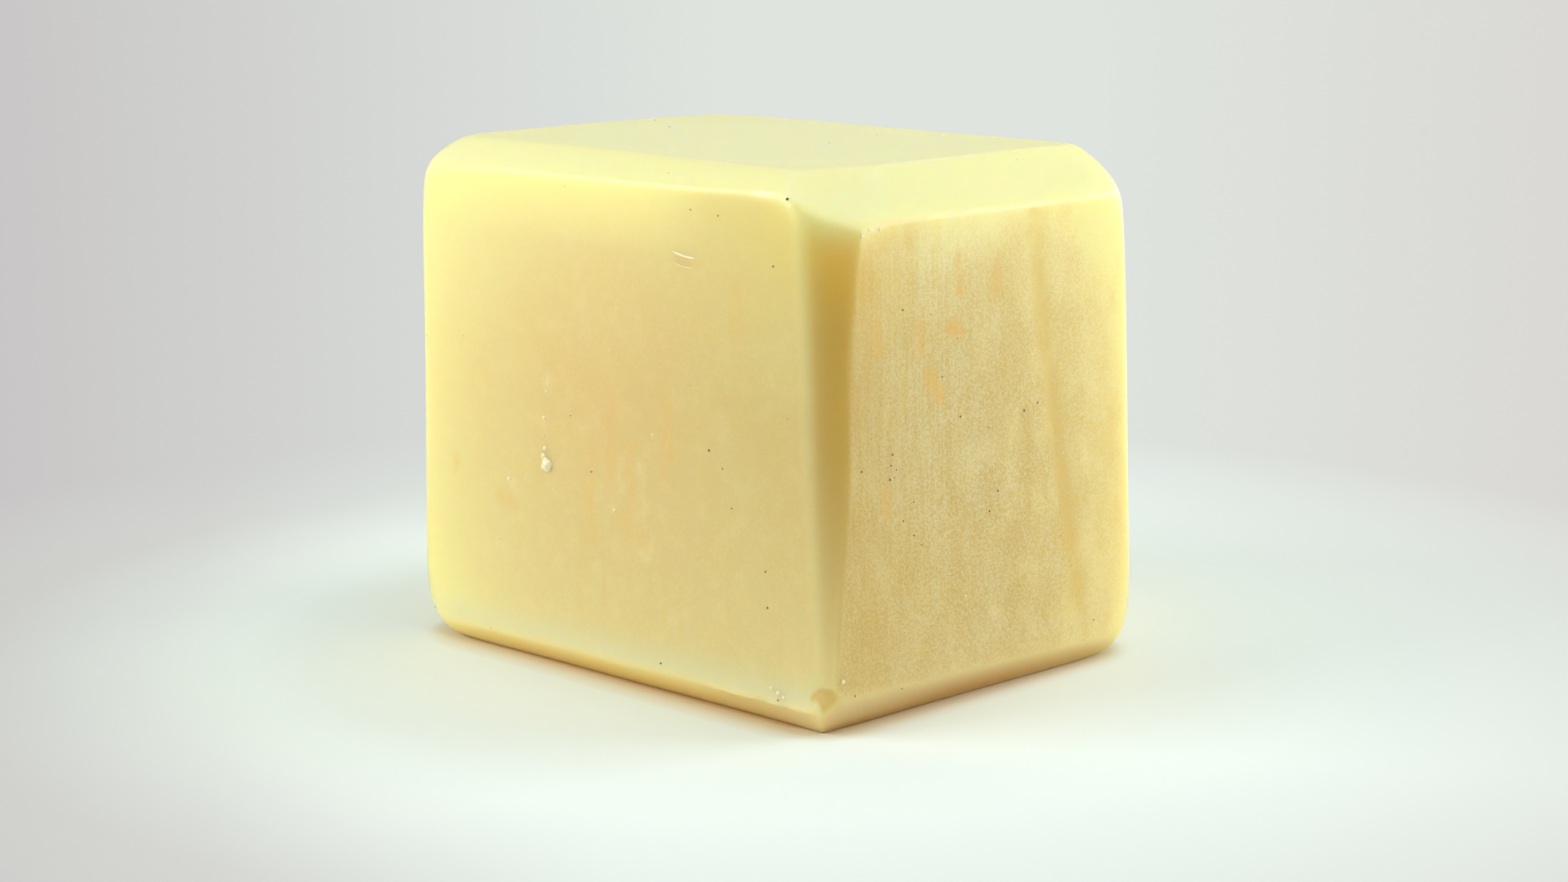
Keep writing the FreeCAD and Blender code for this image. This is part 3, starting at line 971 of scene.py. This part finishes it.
def lumps_tree():
    """Geometry Nodes: a lump at each given place, and more at random over the whole soap."""
    group = bpy.data.node_groups.new("scattered_lumps", "GeometryNodeTree")
    for label, kind in (
        ("Places", "Geometry"), ("Soap", "Object"), ("Lumps per square metre", "Float"), ("Seed", "Int"),
        ("Smallest", "Float"), ("Largest", "Float"), ("Unevenness", "Float"), ("Lowest", "Float"),
        ("Material", "Material"),
    ):
        group.interface.new_socket(label, in_out="INPUT", socket_type="NodeSocket" + kind)
    group.interface.new_socket("Lumps", in_out="OUTPUT", socket_type="NodeSocketGeometry")
    given = add_node(group, "NodeGroupInput").node.outputs
    skin_geometry = add_node(group, "GeometryNodeObjectInfo", None, {"Object": given["Soap"]}, "Geometry")
    position = add_node(group, "GeometryNodeInputPosition")
    above_floor = add_node(group, "ShaderNodeSeparateXYZ", None, {0: position}, output="Z")
    high_enough = add_node(group, "ShaderNodeMath", {"operation": "GREATER_THAN"}, {
        0: above_floor, 1: given["Lowest"]})
    strewn = add_node(group, "GeometryNodeDistributePointsOnFaces", None, {
        "Mesh": skin_geometry, "Selection": high_enough, "Density": given["Lumps per square metre"],
        "Seed": given["Seed"]})
    random_size = add_node(group, "FunctionNodeRandomValue", {"data_type": "FLOAT"}, {
        2: given["Smallest"], 3: given["Largest"], "Seed": given["Seed"]}, output=1)
    strewn = add_node(group, "GeometryNodeStoreNamedAttribute", {"data_type": "FLOAT", "domain": "POINT"}, {
        "Geometry": strewn, "Name": "size", "Value": random_size})
    placed = add_node(group, "GeometryNodeMeshToPoints", None, {"Mesh": given["Places"]})
    join = add_node(group, "GeometryNodeJoinGeometry").node
    group.links.new(strewn, join.inputs[0])
    group.links.new(placed, join.inputs[0])
    ball = add_node(group, "GeometryNodeMeshIcoSphere", None, {
        "Radius": 1.0, "Subdivisions": lump_subdivisions})
    bulge = add_node(group, "ShaderNodeTexNoise", None, {"Scale": lump_bulges, "Detail": 2.0}, output="Color")
    bulge = add_node(group, "ShaderNodeVectorMath", {"operation": "SUBTRACT"}, {0: bulge, 1: (0.5, 0.5, 0.5)})
    bulge = add_node(group, "ShaderNodeVectorMath", {"operation": "SCALE"}, {
        0: bulge, "Scale": given["Unevenness"]})
    lump = add_node(group, "GeometryNodeSetPosition", None, {"Geometry": ball, "Offset": bulge})
    size = add_node(group, "GeometryNodeInputNamedAttribute", {"data_type": "FLOAT"}, {"Name": "size"})
    turn = add_node(group, "FunctionNodeRandomValue", {"data_type": "FLOAT_VECTOR"}, {
        0: (0.0, 0.0, 0.0), 1: (math.tau, math.tau, math.tau), "Seed": given["Seed"]})
    lumps = add_node(group, "GeometryNodeInstanceOnPoints", None, {
        "Points": join.outputs[0], "Instance": lump, "Rotation": turn, "Scale": size})
    lumps = add_node(group, "GeometryNodeRealizeInstances", None, {"Geometry": lumps})
    lumps = add_node(group, "GeometryNodeSetMaterial", None, {
        "Geometry": lumps, "Material": given["Material"]})
    result = group.nodes.new("NodeGroupOutput")
    group.links.new(lumps, result.inputs["Lumps"])
    return group


def strew(name, places, settings):
    """Builds one piece of lumps and gives it to the soap's body."""
    spots = [on_skin(face, across, up) for face, across, up, _ in places]
    mesh = bpy.data.meshes.new(name)
    sunk = [spot - outwards * size * lump_depth * mm for (spot, outwards), (*_, size) in zip(spots, places)]
    mesh.from_pydata(sunk, [], [])
    sizes = mesh.attributes.new("size", "FLOAT", "POINT")
    sizes.data.foreach_set("value", [size * mm for *_, size in places])
    piece = bpy.data.objects.new(name, mesh)
    bpy.context.scene.collection.objects.link(piece)
    modifier = piece.modifiers.new("lumps", "NODES")
    modifier.node_group = lumps_group
    settings = {"Soap": soap, "Unevenness": lump_unevenness, "Lowest": lowest_lump, **settings}
    for socket in lumps_group.interface.items_tree:
        if socket.in_out == "INPUT" and socket.name in settings:
            modifier[socket.identifier] = settings[socket.name]
    evaluated = piece.evaluated_get(bpy.context.evaluated_depsgraph_get())
    solid = bpy.data.meshes.new_from_object(evaluated)
    piece.modifiers.clear()
    piece.data = solid
    solid.name = name
    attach(piece, "root")


# Dust is dry and fibrous, so it is matt and nearly black against the lit soap.
dust_material = new_material("dark_dust")
tree = dust_material.node_tree
dust_shade = coat(tree, dust_dark, dust_brown, pattern(tree, dust_mottle, 1.0))
dust_shader = add_node(tree, "ShaderNodeBsdfPrincipled", None, {
    "Base Color": dust_shade, "Roughness": dust_roughness})
add_node(tree, "ShaderNodeOutputMaterial", None, {"Surface": dust_shader})

lumps_group = lumps_tree()
strew("soap_crumbs", pale_crumbs, {
    "Lumps per square metre": loose_crumbs_per_square_metre, "Seed": crumb_seed,
    "Smallest": loose_crumb_sizes[0], "Largest": loose_crumb_sizes[1], "Material": dried_soap})
strew("soap_dust", dark_dust, {
    "Lumps per square metre": loose_dust_per_square_metre, "Seed": dust_seed,
    "Smallest": loose_dust_sizes[0], "Largest": loose_dust_sizes[1], "Material": dust_material})

# The floor and the light
# A pale matt floor that turns a quiet grey away from the bar, a large soft lamp above, and one on each
# side and a little behind, so that the light comes from everywhere but the front edge.
floor_half = 4.0
floor_lit = "F4FCF4"
floor_pale = "EAF5F0"
floor_seep = "E8D6AE"
contact_shadow_brown = "DABA88"
painted_shadow_left_grey = "D4D6D2"
grey_left = "C8C6C6"
grey_middle = "DFE4DF"
grey_right = "DAD8D4"
seep_on_floor = 4.2 * mm
contact_inside = 0.2 * mm
contact_outside = 0.5 * mm
base_middle = (0.25 * mm, -0.8 * mm, 0.0)
base_half = (21.85 * mm, 16.6 * mm, 1.0)
base_round = 5.0 * mm
studio_glow = 0.16
white = (1.0, 1.0, 1.0, 1.0)
upwards = Vector((0.0, 0.0, 1.0))
softboxes = {
    "left_softbox": (Vector((-0.5, -0.866, 0.35)), 0.5, 0.35, 0.82),
    "right_softbox": (Vector((0.62, 0.785, 0.2)), 0.5, 0.35, 0.95),
    "top_softbox": (upwards + level_right * 0.15, 0.6, 0.6, 0.6),
}

floor_mesh = bpy.data.meshes.new("floor")
floor_mesh.from_pydata(
    [(sx * floor_half, sy * floor_half, 0.0) for sx, sy in ((-1, -1), (1, -1), (1, 1), (-1, 1))],
    [],
    [(0, 1, 2, 3)],
)
floor = bpy.data.objects.new("floor", floor_mesh)
bpy.context.scene.collection.objects.link(floor)

# A matt coat of paint, which only scatters light. Near the bar a warm cast is painted on for the light
# that seeps out of the soap, with a painted brown contact shadow right under its edge and a painted
# shadow to its left. Far away the camera sees an even grey that only changes from side to side.
floor_material = new_material("pale_matt_paint")
tree = floor_material.node_tree
place = add_node(tree, "ShaderNodeTexCoord", output="Object")
from_bar = add_node(tree, "ShaderNodeVectorMath", {"operation": "LENGTH"}, {0: place}, output="Value")
nothing = (0.0, 0.0, 0.0)
past_base = place
for operation, other in (
    ("SUBTRACT", base_middle), ("ABSOLUTE", nothing), ("SUBTRACT", base_half), ("MAXIMUM", nothing),
):
    past_base = add_node(tree, "ShaderNodeVectorMath", {"operation": operation}, {0: past_base, 1: other})
from_base = add_node(tree, "ShaderNodeVectorMath", {"operation": "LENGTH"}, {0: past_base}, output="Value")
camera_ground = camera_target + towards_camera * camera_distance
camera_ground.z = 0.0
level_away = upwards.cross(level_right)
from_camera = add_node(tree, "ShaderNodeVectorMath", {"operation": "SUBTRACT"}, {
    0: place, 1: camera_ground})
across_view = add_node(tree, "ShaderNodeVectorMath", {"operation": "DOT_PRODUCT"}, {
    0: from_camera, 1: level_right}, output="Value")
into_view = add_node(tree, "ShaderNodeVectorMath", {"operation": "DOT_PRODUCT"}, {
    0: from_camera, 1: level_away}, output="Value")
into_view = add_node(tree, "ShaderNodeMath", {"operation": "MAXIMUM"}, {0: into_view, 1: camera_distance / 2})
turn = add_node(tree, "ShaderNodeMath", {"operation": "DIVIDE"}, {0: across_view, 1: into_view})
far_grey = coat(tree, grey_left, grey_middle, (turn, -0.27, -0.02))
far_grey = coat(tree, far_grey, grey_right, (turn, 0.1, 0.27))
far_floor = add_node(tree, "ShaderNodeEmission", None, {"Color": far_grey, "Strength": 1.0})
near_colour = coat(tree, floor_lit, floor_pale, (from_bar, 34 * mm, 48 * mm))
# A painted shadow on the floor to the left of the bar, greying towards the backdrop.
near_colour = coat(tree, near_colour, painted_shadow_left_grey, (turn, -0.06, -0.2), (from_bar, 55 * mm, 85 * mm))
near_colour = coat(tree, floor_seep, near_colour, (from_base, base_round, base_round + seep_on_floor))
# A painted brown contact shadow right under the bar's edge.
near_colour = coat(
    tree, contact_shadow_brown, near_colour, (from_base, base_round - contact_inside, base_round + contact_outside))
near_floor = add_node(tree, "ShaderNodeBsdfDiffuse", None, {"Color": near_colour})
camera_sees = add_node(tree, "ShaderNodeLightPath", output="Is Camera Ray")
far_share = combine(tree, "MULTIPLY", (from_bar, 60 * mm, 120 * mm), camera_sees)
floor_look = add_node(tree, "ShaderNodeMixShader", None, {0: far_share, 1: near_floor, 2: far_floor})
add_node(tree, "ShaderNodeOutputMaterial", None, {"Surface": floor_look})
floor_mesh.materials.append(floor_material)

world = bpy.data.worlds.new("studio")
world.use_nodes = True
background = world.node_tree.nodes["Background"]
background.inputs["Color"].default_value = white
background.inputs["Strength"].default_value = studio_glow
bpy.context.scene.world = world

# Each softbox has its way from the bar, its distance and side in metres, and its strength, where a
# strength of 1 alone would show a white card that faces it as white.
for name, (direction, distance, side, strength) in softboxes.items():
    lamp_data = bpy.data.lights.new(name, "AREA")
    lamp_data.shape = "SQUARE"
    lamp_data.size = side
    lamp_data.energy = strength * math.pi ** 2 * distance ** 2
    lamp = bpy.data.objects.new(name, lamp_data)
    away = direction.normalized()
    lamp.location = Vector((0.0, 0.0, height / 2 * mm)) + away * distance
    lamp.rotation_euler = away.to_track_quat("Z", "Y").to_euler()
    bpy.context.scene.collection.objects.link(lamp)

bpy.context.scene.view_settings.view_transform = "Standard"
